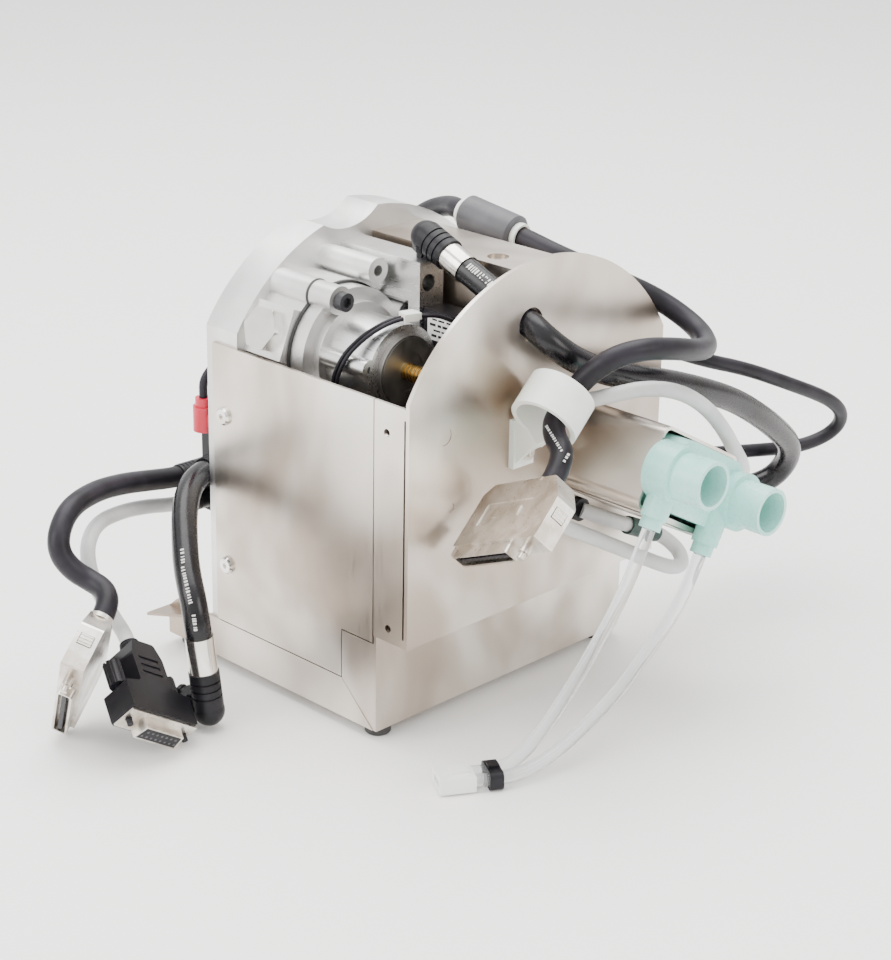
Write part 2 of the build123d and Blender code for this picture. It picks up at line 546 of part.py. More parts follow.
# ---------------------------------------------------------------- fifteen way connector
d_plane = oriented((-161.4, 33.2, 14.8), (0.847, -0.044, -0.528), (0.334, 0.816, 0.469))
D_DEPTH = 42.0
D_T = 15.0
D_SCREW = 16.65
d_outline = [(-19.5, 1), (19.5, 1), (19.5, 16), (9.5, 18), (9.5, 34), (6.5, D_DEPTH), (-6.5, D_DEPTH),
             (-9.5, 34), (-9.5, 18), (-19.5, 16)]
d_upright = Plane(origin=(0, D_T / 2, 0), x_dir=(1, 0, 0), z_dir=(0, -1, 0))
d_hood = extrude(d_upright * Polygon(*d_outline, align=None), amount=D_T)
d_hood = chamfer(d_hood.edges().filter_by(Axis.Y), 0.8)
for sx in (-1, 1):
    d_hood -= Pos(sx * D_SCREW, 0, 8) * Cylinder(1.4 + PLAY, 24)
for k in range(3):
    for sy in (-1, 1):
        d_hood -= Pos(0, sy * D_T / 2, 24 + 4 * k) * Box(12, 1.2, 1.4)
save("d_hood", d_plane * d_hood)
d_shell = Box(39.1, 12.55, 1, align=(Align.CENTER, Align.CENTER, Align.MIN))
wedge = [(-11.0, -4.0), (11.0, -4.0), (12.3, 4.0), (-12.3, 4.0)]
d_shell += extrude(Plane(origin=(0, 0, -6)) * Polygon(*wedge, align=None), amount=6)
for sx in (-1, 1):
    d_shell -= Pos(sx * D_SCREW, 0, 0) * Cylinder(1.4 + PLAY, 6)
for row, count in ((1.42, 8), (-1.42, 7)):
    for k in range(count):
        x = (k - (count - 1) / 2) * 2.77
        d_shell -= Pos(x, row, -5) * Cylinder(0.6, 2.4)
save("d_shell", d_plane * d_shell)
for name, sx in (("thumb_screw_left", -1), ("thumb_screw_right", 1)):
    screw = Pos(sx * D_SCREW, 0, 7.4) * Cylinder(1.4, 21)
    knob = Pos(sx * D_SCREW, 0, 23.9) * Cylinder(4.0, 12.2)
    for k in range(10):
        spin = Rot(0, 0, 36 * k)
        knob -= Pos(sx * D_SCREW, 0, 23.9) * spin * Pos(4.2, 0, 0) * Cylinder(0.6, 13)
    knob -= Pos(sx * D_SCREW, 0, 30) * Box(9, 1.0, 2.4)
    save(name, d_plane * (screw + knob))
d_entry = d_plane.from_local_coords(Vector(0, 0, D_DEPTH))

# ---------------------------------------------------------------- rear hose end
REAR_ELBOW = Vector(-127.0, 38.8, 9.0)
UP = Vector(-0.05, 0.1, 0.99).normalized()
STEM = Vector(-0.2, 0.95, 0.25).normalized()
STEM_R = 3.6
rear_elbow = Pos(*REAR_ELBOW) * Sphere(7.2) + rod(REAR_ELBOW, REAR_ELBOW + UP * 19, 7.0)
rear_elbow += rod(REAR_ELBOW, REAR_ELBOW + STEM * 10, 6.6)
for k in range(3):
    at = 7 + 3.6 * k
    cut = rod(REAR_ELBOW + UP * at, REAR_ELBOW + UP * (at + 0.9), 9)
    rear_elbow -= cut - rod(REAR_ELBOW, REAR_ELBOW + UP * 22, 6.4)
rear_elbow -= rod(REAR_ELBOW + STEM * 3, REAR_ELBOW + STEM * 11, STEM_R + PLAY)
save("hose_rear_elbow", rear_elbow)
stem = rod(REAR_ELBOW + STEM * 3.5, REAR_ELBOW + STEM * 18, STEM_R)
stem_hex = Plane(origin=REAR_ELBOW + STEM * 10.4, z_dir=STEM)
stem += extrude(stem_hex * RegularPolygon(6.2, 6), amount=3.2)
for k in range(2):
    start = 14.2 + 1.9 * k
    stem += rod(REAR_ELBOW + STEM * start, REAR_ELBOW + STEM * (start + 1), 4.1)
save("hose_rear_stem", stem)
rear_ferrule_end = REAR_ELBOW + UP * 36
save("hose_rear_ferrule", rod(REAR_ELBOW + UP * 19, rear_ferrule_end, 6.5))

# ---------------------------------------------------------------- glands and cords
GLAND_OUT = 5.5
BRACKET_X = -60.0
glands = []
bracket = box(BRACKET_X, BRACKET_X + SHEET, REAR_BACK, TRAY_REAR - 0.5, 64, 106)
bracket += box(BRACKET_X, BRACKET_X + 14, REAR_BACK, REAR_BACK + SHEET, 64, 106)
glands.append(bracket)
rear_exits = [(114.0, 87.0, 7.4), (114.0, 73.0, 5.6), (99.0, 94.0, 8.4)]
LEFT_GLAND = BRACKET_X - 10.0
for y, z, r in rear_exits:
    nut = Plane(origin=(BRACKET_X, y, z), z_dir=(-1, 0, 0)) * extrude(RegularPolygon(r, 6), amount=4)
    glands.append(nut + rod_x(y, z, BRACKET_X - 4, LEFT_GLAND, r * 0.86))
glands.append(rod_y(46, 150, REAR_BACK, REAR_BACK + 2.5, 8.0))
RIGHT_GLAND = HALF + GLAND_OUT
for y, z, dia in glands_right:
    glands.append(rod_x(y, z, HALF, RIGHT_GLAND, dia / 2 + 2.2))
glands.append(rod_x(-30, 85, HALF, RIGHT_GLAND, GREY_D / 2 + 2.2))
FACE_GLAND = FRONT_Y - 4.0
face_exits = [(13.0, 144.5), (-8.0, 97.0), (25.0, 89.0)]
for x, z in face_exits:
    glands.append(rod_y(x, z, FACE_GLAND, FRONT_Y, GREY_D / 2 + 2.0))
save("cord_glands", *glands)

SLEEVE_REAR, SLEEVE_FRONT = Vector(50, 58, 205), Vector(52, 20, 199)
FRONT_CABLE = [
    (46, REAR_BACK + 2.5, 150), (46, 105, 151), (53, 114, 160), (60, 115, 174), (64, 107, 187), (64, 92, 197),
    (59, 74, 203), xyz(SLEEVE_REAR), xyz(SLEEVE_FRONT), (56, -2, 193), (69, -22, 185), (83, -38, 176),
    (88, -57, 166), (76, -74, 163), (55, -84, 168), (32, -88, 175), (14, -85, 178), (3, -77, 174),
    (-4, -68, 164), (-13, -64, 152), (-23, -68, 145), xyz(front_plane.from_local_coords(Vector(FRONT_ENTRY, 0, 48))),
    xyz(front_entry),
]
cord("cable_front", FRONT_CABLE, CABLE_D)
FRONT_HOSE = [
    xyz(FERRULE_END), (-7, -14, 194), (-9, -28, 189), (-9, -42, 184), (-8, -50, 179), (-1, -55, 172),
    (10, -57, 165), (25, -59, 158), (46, -60, 151), (68, -60, 144), (94, -60, 134), (119, -58, 123),
    (143, -56, 109), (168, -51, 93), (185, -46, 80), (192, -40, 68), (189, -34, 58), (178, -28, 54),
    (160, -23, 54), (138, -18, 57), (112, -10, 64), (RIGHT_GLAND, -4, 68),
]
cord("hose_front", FRONT_HOSE, HOSE_D)
SIDE_CABLE = [
    (RIGHT_GLAND, 2, 150), (96, -9, 149), (106, -24, 144), (124, -34, 136), (151, -40, 127), (180, -46, 114),
    (208, -50, 101), (222, -50, 91), (228, -46, 81), (224, -40, 73), (210, -33, 69), (185, -24, 71),
    (152, -18, 76), (114, -11, 82), (RIGHT_GLAND, -4, 84),
]
cord("cable_side", SIDE_CABLE, GREY_D)
GREY_CABLE = [
    (13, FACE_GLAND, 144.5), (14, -56, 147), (20, -66, 151), (29, -77, 155), (43, -85, 152), (58, -88, 142),
    (73, -87, 128), (87, -84, 113), (97, -82, 102), (104, -77, 93), (107, -66, 87), (105, -52, 85),
    (98, -37, 85), (RIGHT_GLAND, -30, 85),
]
cord("cable_grey_front", GREY_CABLE, GREY_D)
GREY_LOOP = [
    (-8, FACE_GLAND, 97), (-4, -53, 94), (8, -57, 87), (24, -59, 78), (40, -62, 69), (54, -67, 61), (64, -70, 56),
    (73, -69, 55), (78, -62, 59), (73, -54, 66), (61, -51, 72), (47, -52, 78), (33, -52, 85), (25, FACE_GLAND, 89),
]
cord("cable_grey_loop", GREY_LOOP, GREY_D)
REAR_CABLE = [
    (LEFT_GLAND, 114, 87), (-84, 114, 88), (-99, 113, 91), (-117, 110, 95), (-136, 105, 98), (-156, 97, 98),
    (-167, 91, 91), (-170, 87, 83), (-166, 83, 75), (-161, 78.5, 70.5), (-159, 69.5, 68),
    xyz(rear_plane.from_local_coords(Vector(REAR_ENTRY, 0, HOOD_DEPTH + 7))), xyz(rear_entry),
]
cord("cable_rear", REAR_CABLE, CABLE_D)
REAR_GREY = [
    (LEFT_GLAND, 114, 73), (-84, 115, 74), (-100, 114, 78), (-119, 109, 82), (-138, 102, 84), (-150, 94, 79),
    (-154, 87, 69), (-152, 82, 58), (-148, 79, 48), xyz(d_plane.from_local_coords(Vector(0, 0, D_DEPTH + 9))),
    xyz(d_entry),
]
cord("cable_grey_rear", REAR_GREY, GREY_D)
REAR_HOSE = [
    (LEFT_GLAND, 99, 94), (-82, 97, 94), (-94, 90, 92), (-105, 80, 87), (-115, 68, 79), (-123, 57, 70),
    xyz(REAR_ELBOW + UP * 49), xyz(rear_ferrule_end),
]
cord("hose_rear", REAR_HOSE, HOSE_D)

along = (SLEEVE_FRONT - SLEEVE_REAR).normalized()
sleeve = rod(SLEEVE_REAR + along * 3.5, SLEEVE_FRONT - along * 3.5, 9.0)
sleeve = chamfer(sleeve.edges(), 1.2)
sleeve -= rod(SLEEVE_REAR, SLEEVE_FRONT, CABLE_D / 2)
save("ferrite_sleeve", sleeve)

# ---------------------------------------------------------------- red boot and thin leads
BOOT_X, BOOT_Y = -78.0, REAR_BACK + 7
boot = rod_z(BOOT_X, BOOT_Y, 115, 127, 5.0) + rod_z(BOOT_X, BOOT_Y, 127, 131, 3.9)
boot += box(BOOT_X - 2, BOOT_X + 4, REAR_BACK, BOOT_Y, 118, 124)
save("red_boot", boot)
lead_top = [(BOOT_X, BOOT_Y, 131), (BOOT_X, BOOT_Y, 139), (-74.5, BOOT_Y - 2, 145), (-70, REAR_BACK, 149)]
leads = [tube(lead_top, 4.0)[0]]
for shift in (0.0, 2.4):
    over_barrel = [
        (-15, shift - 2, 177), (-24, shift - 1, 181.5), (-34, shift + 2, 183), (-46, shift + 6, 182),
        (-57, shift + 10, 177), (-66, shift + 14, 168.5), (-69, shift + 17, 158), (-66.5, shift + 19, 150.5),
        (-59, shift + 19.5, 151),
    ]
    leads.append(tube(over_barrel, LEAD_D)[0])
save("thin_leads", *leads)

jacks = []
for plane in (front_plane, rear_plane):
    jacks.append(plane * (Pos(-33.8, 0, 4) * Cylinder(2.4, 12) + Pos(-31.9, 0, 4) * Box(1.8, 3, 6)))
save("jack_screws", *jacks)
print(len(done), "nodes")
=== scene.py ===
import bpy
import bmesh
import json
import math
import random
from mathutils import Matrix, Vector

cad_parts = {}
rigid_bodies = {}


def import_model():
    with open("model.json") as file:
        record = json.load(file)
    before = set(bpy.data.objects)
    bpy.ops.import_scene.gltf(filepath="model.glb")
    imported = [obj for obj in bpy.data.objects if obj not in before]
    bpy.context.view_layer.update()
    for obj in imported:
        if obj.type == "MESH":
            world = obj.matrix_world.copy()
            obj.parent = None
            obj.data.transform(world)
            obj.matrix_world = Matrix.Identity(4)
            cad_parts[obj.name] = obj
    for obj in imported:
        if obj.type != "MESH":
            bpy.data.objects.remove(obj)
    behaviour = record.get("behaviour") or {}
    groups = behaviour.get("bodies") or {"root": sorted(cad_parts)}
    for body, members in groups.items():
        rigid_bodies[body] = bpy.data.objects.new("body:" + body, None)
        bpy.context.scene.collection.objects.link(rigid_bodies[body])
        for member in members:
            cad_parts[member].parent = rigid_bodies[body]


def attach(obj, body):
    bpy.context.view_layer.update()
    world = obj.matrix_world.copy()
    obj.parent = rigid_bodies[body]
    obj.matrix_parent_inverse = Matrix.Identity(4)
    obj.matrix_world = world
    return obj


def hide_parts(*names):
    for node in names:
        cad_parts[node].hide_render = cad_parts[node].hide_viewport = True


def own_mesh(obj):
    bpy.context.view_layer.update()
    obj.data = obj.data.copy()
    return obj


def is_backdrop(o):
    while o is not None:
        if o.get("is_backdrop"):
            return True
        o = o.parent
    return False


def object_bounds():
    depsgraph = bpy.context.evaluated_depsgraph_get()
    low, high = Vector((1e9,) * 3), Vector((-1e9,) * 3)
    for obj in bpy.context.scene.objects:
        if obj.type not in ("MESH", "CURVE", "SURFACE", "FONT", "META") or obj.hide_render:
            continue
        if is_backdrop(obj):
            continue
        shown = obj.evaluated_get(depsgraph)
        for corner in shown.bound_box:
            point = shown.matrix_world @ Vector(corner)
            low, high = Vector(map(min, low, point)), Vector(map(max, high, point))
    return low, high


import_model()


def plain(value):
    if isinstance(value, dict):
        return {k: plain(v) for k, v in value.items()}
    if isinstance(value, (str, int, float, bool)) or value is None:
        return value
    return [plain(v) for v in value]


first_bounds = plain(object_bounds())
MM = 0.001
ROOT = "cabinet"

# ------------------------------------------------------------------ camera
AZ, EL, ROLL = math.radians(-45.79), math.radians(21.36), math.radians(1.04)
back = Vector((math.sin(AZ) * math.cos(EL), -math.cos(AZ) * math.cos(EL), math.sin(EL)))
flat = (-back).cross(Vector((0, 0, 1))).normalized()
high = flat.cross(-back)
right = flat * math.cos(ROLL) + high * math.sin(ROLL)
up = high * math.cos(ROLL) - flat * math.sin(ROLL)
cam_data = bpy.data.cameras.new("view")
cam_data.sensor_fit = "HORIZONTAL"
cam_data.sensor_width = 36.0
cam_data.lens = 91.23
cam = bpy.data.objects.new("view", cam_data)
bpy.context.scene.collection.objects.link(cam)
place = Vector((-0.7041, -0.6682, 0.4765))
turn = Matrix((right, up, back)).transposed().to_4x4()
cam.matrix_world = Matrix.Translation(place) @ turn
bpy.context.scene.camera = cam


# ------------------------------------------------------------------ shader groups
def new_group(name, inputs, outputs):
    group = bpy.data.node_groups.new(name, "ShaderNodeTree")
    for label, kind, value in inputs:
        item = group.interface.new_socket(label, in_out="INPUT", socket_type=kind)
        item.default_value = value
    for label, kind in outputs:
        group.interface.new_socket(label, in_out="OUTPUT", socket_type=kind)
    start = group.nodes.new("NodeGroupInput")
    stop = group.nodes.new("NodeGroupOutput")
    return group, start, stop


def grain_group():
    """Noise stretched along one direction, as a mask and as a surface normal."""
    group, start, stop = new_group(
        "grain",
        [("Stretch", "NodeSocketVector", (1, 1, 1)), ("Scale", "NodeSocketFloat", 400.0),
         ("Strength", "NodeSocketFloat", 0.1), ("Distance", "NodeSocketFloat", 0.0002)],
        [("Mask", "NodeSocketFloat"), ("Normal", "NodeSocketVector")],
    )
    n, k = group.nodes, group.links
    where = n.new("ShaderNodeTexCoord")
    times = n.new("ShaderNodeVectorMath")
    times.operation = "MULTIPLY"
    noise = n.new("ShaderNodeTexNoise")
    noise.inputs["Detail"].default_value = 4.0
    bump = n.new("ShaderNodeBump")
    k.new(where.outputs["Object"], times.inputs[0])
    k.new(start.outputs["Stretch"], times.inputs[1])
    k.new(times.outputs[0], noise.inputs["Vector"])
    k.new(start.outputs["Scale"], noise.inputs["Scale"])
    k.new(noise.outputs["Fac"], bump.inputs["Height"])
    k.new(start.outputs["Strength"], bump.inputs["Strength"])
    k.new(start.outputs["Distance"], bump.inputs["Distance"])
    k.new(noise.outputs["Fac"], stop.inputs["Mask"])
    k.new(bump.outputs["Normal"], stop.inputs["Normal"])
    return group


def cloud_group():
    """Large soft patches, as a mask between the two levels."""
    group, start, stop = new_group(
        "clouds",
        [("Stretch", "NodeSocketVector", (1, 1, 1)), ("Scale", "NodeSocketFloat", 9.0),
         ("Low", "NodeSocketFloat", 0.35), ("High", "NodeSocketFloat", 0.65)],
        [("Mask", "NodeSocketFloat")],
    )
    n, k = group.nodes, group.links
    where = n.new("ShaderNodeTexCoord")
    times = n.new("ShaderNodeVectorMath")
    times.operation = "MULTIPLY"
    noise = n.new("ShaderNodeTexNoise")
    noise.inputs["Detail"].default_value = 3.0
    noise.inputs["Distortion"].default_value = 0.4
    level = n.new("ShaderNodeMapRange")
    level.interpolation_type = "SMOOTHSTEP"
    k.new(where.outputs["Object"], times.inputs[0])
    k.new(start.outputs["Stretch"], times.inputs[1])
    k.new(times.outputs[0], noise.inputs["Vector"])
    k.new(start.outputs["Scale"], noise.inputs["Scale"])
    k.new(noise.outputs["Fac"], level.inputs["Value"])
    k.new(start.outputs["Low"], level.inputs["From Min"])
    k.new(start.outputs["High"], level.inputs["From Max"])
    k.new(level.outputs["Result"], stop.inputs["Mask"])
    return group


GRAIN = grain_group()
CLOUDS = cloud_group()


def material(name, light, dark, metal, rough, grain=(400, 0.08, (1, 1, 1)), clouds=(9, (1, 1, 1)), **more):
    """One procedural finish. rough holds the smoothest and the roughest value."""
    m = bpy.data.materials.new(name)
    m.use_nodes = True
    n, k = m.node_tree.nodes, m.node_tree.links
    p = n["Principled BSDF"]
    p.inputs["Metallic"].default_value = metal
    for label, value in more.items():
        p.inputs[label.replace("_", " ")].default_value = value
    g = n.new("ShaderNodeGroup")
    g.node_tree = GRAIN
    g.inputs["Scale"].default_value = grain[0]
    g.inputs["Strength"].default_value = grain[1]
    g.inputs["Stretch"].default_value = grain[2]
    c = n.new("ShaderNodeGroup")
    c.node_tree = CLOUDS
    c.inputs["Scale"].default_value = clouds[0]
    c.inputs["Stretch"].default_value = clouds[1]
    mix = n.new("ShaderNodeMix")
    mix.data_type = "RGBA"
    mix.inputs[6].default_value = (*dark, 1)
    mix.inputs[7].default_value = (*light, 1)
    k.new(c.outputs["Mask"], mix.inputs[0])
    k.new(mix.outputs[2], p.inputs["Base Color"])
    spread = n.new("ShaderNodeMapRange")
    spread.inputs["To Min"].default_value = rough[0]
    spread.inputs["To Max"].default_value = rough[1]
    k.new(g.outputs["Mask"], spread.inputs["Value"])
    k.new(spread.outputs["Result"], p.inputs["Roughness"])
    k.new(g.outputs["Normal"], p.inputs["Normal"])
    return m


BRUSH_V = (1, 1, 0.06)
BRUSH_Y = (1, 0.06, 1)
M = {
    "sheet_steel": material("sheet_steel", (0.80, 0.75, 0.69), (0.42, 0.35, 0.29), 1.0, (0.24, 0.40),
                            (900, 0.06, BRUSH_V), (13, (1, 1, 0.7))),
    "cast_aluminium": material("cast_aluminium", (0.86, 0.86, 0.85), (0.66, 0.65, 0.64), 1.0, (0.34, 0.52),
                               (700, 0.14, (1, 1, 1)), (22, (1, 1, 1))),
    "machined_aluminium": material("machined_aluminium", (0.88, 0.88, 0.88), (0.72, 0.72, 0.71), 1.0,
                                   (0.22, 0.36), (1100, 0.06, BRUSH_Y), (25, (1, 1, 1))),
    "bright_steel": material("bright_steel", (0.90, 0.88, 0.84), (0.70, 0.66, 0.60), 1.0, (0.12, 0.24),
                             (500, 0.03, (1, 1, 1)), (60, (1, 1, 1))),
    "black_steel": material("black_steel", (0.055, 0.055, 0.06), (0.025, 0.025, 0.03), 0.6, (0.28, 0.48),
                            (500, 0.06, (1, 1, 1)), (60, (1, 1, 1))),
    "gear_steel": material("gear_steel", (0.72, 0.72, 0.73), (0.5, 0.5, 0.5), 1.0, (0.2, 0.32)),
    "brass": material("brass", (0.86, 0.62, 0.24), (0.55, 0.36, 0.12), 1.0, (0.16, 0.30),
                      (500, 0.05, (1, 1, 1)), (90, (1, 1, 1))),
    "gasket": material("gasket", (0.05, 0.05, 0.05), (0.02, 0.02, 0.02), 0.0, (0.6, 0.8)),
    "foot_rubber": material("foot_rubber", (0.05, 0.05, 0.05), (0.025, 0.025, 0.025), 0.0, (0.5, 0.7)),
    "black_plastic": material("black_plastic", (0.014, 0.013, 0.017), (0.007, 0.007, 0.009), 0.0,
                              (0.28, 0.46), (1400, 0.10, (1, 1, 1)), (40, (1, 1, 1)),
                              Specular_IOR_Level=0.22),
    "white_nylon": material("white_nylon", (0.90, 0.89, 0.84), (0.80, 0.79, 0.72), 0.0, (0.34, 0.48),
                            (300, 0.04, (1, 1, 1)), (30, (1, 1, 1)), Subsurface_Weight=0.15),
    "mint_plastic": material("mint_plastic", (0.44, 0.80, 0.73), (0.33, 0.70, 0.63), 0.0, (0.22, 0.34),
                             (500, 0.04, (1, 1, 1)), (18, (1, 1, 1)), Coat_Weight=0.15),
    "black_cable": material("black_cable", (0.020, 0.018, 0.024), (0.010, 0.009, 0.012), 0.0, (0.32, 0.48),
                            (900, 0.06, (1, 1, 1)), (60, (1, 1, 1)), Specular_IOR_Level=0.2),
    "black_hose": material("black_hose", (0.011, 0.010, 0.013), (0.005, 0.005, 0.006), 0.0, (0.18, 0.34),
                           (500, 0.06, (1, 1, 1)), (60, (1, 1, 1)), Specular_IOR_Level=0.35),
    "grey_cable": material("grey_cable", (0.62, 0.63, 0.63), (0.50, 0.51, 0.51), 0.0, (0.36, 0.5),
                           (600, 0.05, (1, 1, 1)), (40, (1, 1, 1))),
    "grey_sleeve": material("grey_sleeve", (0.085, 0.085, 0.095), (0.055, 0.055, 0.062), 0.0, (0.38, 0.55),
                            (500, 0.08, (1, 1, 1)), (40, (1, 1, 1))),
    "nickel": material("nickel", (0.84, 0.81, 0.76), (0.55, 0.50, 0.44), 1.0, (0.20, 0.42),
                       (600, 0.22, (1, 1, 1)), (70, (1, 1, 1))),
    "red_boot": material("red_boot", (0.66, 0.02, 0.06), (0.46, 0.01, 0.03), 0.0, (0.26, 0.4)),
    "clear_tube": material("clear_tube", (0.97, 0.98, 0.99), (0.92, 0.94, 0.96), 0.0, (0.04, 0.12),
                           (300, 0.02, (1, 1, 1)), (20, (1, 1, 1)), Transmission_Weight=0.85, IOR=1.28),
    # white for the real print, and for the painted highlight strokes on the front hose
    "print_and_painted_highlight_white": material("print_and_painted_highlight_white", (0.80, 0.80, 0.78), (0.55, 0.55, 0.54), 0.0, (0.5, 0.6)),
    "label_white": material("label_white", (0.86, 0.86, 0.85), (0.78, 0.78, 0.77), 0.0, (0.4, 0.5)),
    "dark_green": material("dark_green", (0.02, 0.06, 0.05), (0.01, 0.03, 0.026), 0.0, (0.4, 0.6)),
    "dark_cast": material("dark_cast", (0.26, 0.25, 0.24), (0.11, 0.11, 0.105), 0.9, (0.30, 0.48),
                          (800, 0.10, (1, 1, 1)), (40, (1, 1, 1))),
}


def paint(obj, name):
    obj.data.materials.clear()
    obj.data.materials.append(M[name])


record_slot = {
    "base_tray": "sheet_steel", "left_panel": "sheet_steel", "right_panel": "sheet_steel",
    "face_plate": "sheet_steel", "rear_plate": "cast_aluminium", "feet": "foot_rubber",
    "foot_screws": "bright_steel", "panel_screws": "bright_steel", "inner_cover": "sheet_steel",
    "manifold_block": "machined_aluminium", "manifold_elbow": "black_plastic",
    "elbow_ferrule": "bright_steel",
    "pump_gearcase": "cast_aluminium", "hex_plug": "bright_steel", "pump_gasket": "gasket",
    "pump_flange": "cast_aluminium", "pump_screws": "black_steel", "motor_barrel": "machined_aluminium",
    "motor_end_cap": "black_steel", "brass_fitting": "brass", "drive_shaft": "gear_steel",
    "driven_gear": "gear_steel", "pump_bearings": "brass", "motor_rotor": "black_steel",
    "valve_coil": "black_plastic", "valve_plunger": "gear_steel", "valve_spring": "gear_steel",
    "cable_clamp": "white_nylon", "shroud": "sheet_steel", "socket_manifold": "mint_plastic",
    "tube_tie": "black_plastic", "tube_connector": "white_nylon", "ferrite_sleeve": "grey_sleeve",
    "front_hood": "nickel", "front_insulator": "black_plastic", "front_latch": "nickel",
    "rear_hood": "nickel", "rear_insulator": "black_plastic", "rear_latch": "nickel",
    "d_hood": "black_plastic", "d_shell": "nickel", "thumb_screw_left": "black_plastic",
    "thumb_screw_right": "black_plastic", "hose_rear_ferrule": "bright_steel",
    "hose_rear_elbow": "black_plastic", "hose_rear_stem": "black_plastic", "cord_glands": "black_plastic",
    "red_boot": "red_boot", "thin_leads": "black_cable", "jack_screws": "nickel",
    "cable_front": "black_cable", "hose_front": "black_hose", "cable_side": "black_cable",
    "cable_grey_front": "grey_cable", "cable_grey_loop": "grey_cable", "cable_rear": "black_cable",
    "cable_grey_rear": "grey_cable", "hose_rear": "black_hose", "clear_tube_left": "clear_tube",
    "clear_tube_right": "clear_tube",
}
for o in list(bpy.data.objects):
    if o.name in record_slot and o.type == "MESH":
        paint(o, {"motor_end_cap": "dark_cast"}.get(o.name, record_slot[o.name]))


def cord(node, points, diameter):
    """Round cord along the route, in millimetres, standing for the CAD node."""
    name = node + "_line"
    curve = bpy.data.curves.new(name, "CURVE")
    curve.dimensions = "3D"
    curve.resolution_u = 12
    curve.bevel_resolution = 8
    curve.use_fill_caps = True
    curve.bevel_depth = diameter * MM / 2
    line = curve.splines.new("NURBS")
    line.points.add(len(points) - 1)
    for spot, at in zip(line.points, points):
        spot.co = (at[0] * MM, at[1] * MM, at[2] * MM, 1)
    line.order_u = 3
    line.use_endpoint_u = True
    obj = bpy.data.objects.new(name, curve)
    bpy.context.scene.collection.objects.link(obj)
    paint(obj, record_slot[node])
    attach(obj, ROOT)
    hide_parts(node)


HOSE_D, CABLE_D, GREY_D, CLEAR_D = 12, 10, 7, 6
CLEAR_TUBE_LEFT = [
    (8.98, -98.6, 100.01), (5, -97, 88), (-3, -96, 72), (-15, -94, 54), (-30, -93, 37), (-45, -91, 21),
    (-56, -88, 10), (-66.07, -84.46, 4.5), (-78.11, -77.32, 4.5),
]
CLEAR_TUBE_RIGHT = [
    (46.45, -98.6, 77.06), (42, -97, 64), (32, -96, 50), (16, -95, 36), (-4, -96, 24), (-25, -96, 15),
    (-44, -95.5, 8.5), (-59, -94, 5.5), (-69.85, -90.82, 4.5), (-81.89, -83.68, 4.5),
]
CABLE_FRONT = [
    (46, 93, 150), (46, 105, 151), (53, 114, 160), (60, 115, 174), (64, 107, 187), (64, 92, 197),
    (59, 74, 203), (50, 58, 205), (52, 20, 199), (56, -2, 193), (69, -22, 185), (83, -38, 176),
    (88, -57, 166), (76, -74, 163), (55, -84, 168), (32, -88, 175), (14, -85, 178), (3, -77, 174),
    (-4, -68, 164), (-13, -64, 152), (-23, -68, 145), (-29.27, -82.97, 139.09), (-41.22, -84.73, 130.2),
]
HOSE_FRONT = [
    (-7.12, -0.71, 199.21), (-7, -14, 194), (-9, -28, 189), (-9, -42, 184), (-8, -50, 179),
    (-1, -55, 172), (10, -57, 165), (25, -59, 158), (46, -60, 151), (68, -60, 144), (94, -60, 134),
    (119, -58, 123), (143, -56, 109), (168, -51, 93), (185, -46, 80), (192, -40, 68), (189, -34, 58),
    (178, -28, 54), (160, -23, 54), (138, -18, 57), (112, -10, 64), (88, -4, 68),
]
CABLE_SIDE = [
    (88, 2, 150), (96, -9, 149), (106, -24, 144), (124, -34, 136), (151, -40, 127), (180, -46, 114),
    (208, -50, 101), (222, -50, 91), (228, -46, 81), (224, -40, 73), (210, -33, 69), (185, -24, 71),
    (152, -18, 76), (114, -11, 82), (88, -4, 84),
]
CABLE_GREY_FRONT = [
    (13, -46, 144.5), (14, -56, 147), (20, -66, 151), (29, -77, 155), (43, -85, 152), (58, -88, 142),
    (73, -87, 128), (87, -84, 113), (97, -82, 102), (104, -77, 93), (107, -66, 87), (105, -52, 85),
    (98, -37, 85), (88, -30, 85),
]
CABLE_GREY_LOOP = [
    (-8, -46, 97), (-4, -53, 94), (8, -57, 87), (24, -59, 78), (40, -62, 69), (54, -67, 61),
    (64, -70, 56), (73, -69, 55), (78, -62, 59), (73, -54, 66), (61, -51, 72), (47, -52, 78),
    (33, -52, 85), (25, -46, 89),
]
CABLE_REAR = [
    (-70, 114, 87), (-84, 114, 88), (-99, 113, 91), (-117, 110, 95), (-136, 105, 98), (-156, 97, 98),
    (-167, 91, 91), (-170, 87, 83), (-166, 83, 75), (-161, 78.5, 70.5), (-159, 69.5, 68),
    (-162.48, 62.53, 63.99), (-167.93, 60.39, 60.17),
]
CABLE_GREY_REAR = [
    (-70, 114, 73), (-84, 115, 74), (-100, 114, 78), (-119, 109, 82), (-138, 102, 84), (-150, 94, 79),
    (-154, 87, 69), (-152, 82, 58), (-148, 79, 48), (-144.34, 74.87, 38.75), (-147.35, 67.52, 34.52),
]
HOSE_REAR = [
    (-70, 99, 94), (-82, 97, 94), (-94, 90, 92), (-105, 80, 87), (-115, 68, 79), (-123, 57, 70),
    (-129.46, 43.72, 57.69), (-128.81, 42.41, 44.77),
]
cord("clear_tube_left", CLEAR_TUBE_LEFT, CLEAR_D)
cord("clear_tube_right", CLEAR_TUBE_RIGHT, CLEAR_D)
cord("cable_front", CABLE_FRONT, CABLE_D)
cord("hose_front", HOSE_FRONT, HOSE_D)
cord("cable_side", CABLE_SIDE, GREY_D)
cord("cable_grey_front", CABLE_GREY_FRONT, GREY_D)
cord("cable_grey_loop", CABLE_GREY_LOOP, GREY_D)
cord("cable_rear", CABLE_REAR, CABLE_D)
cord("cable_grey_rear", CABLE_GREY_REAR, GREY_D)
cord("hose_rear", HOSE_REAR, HOSE_D)


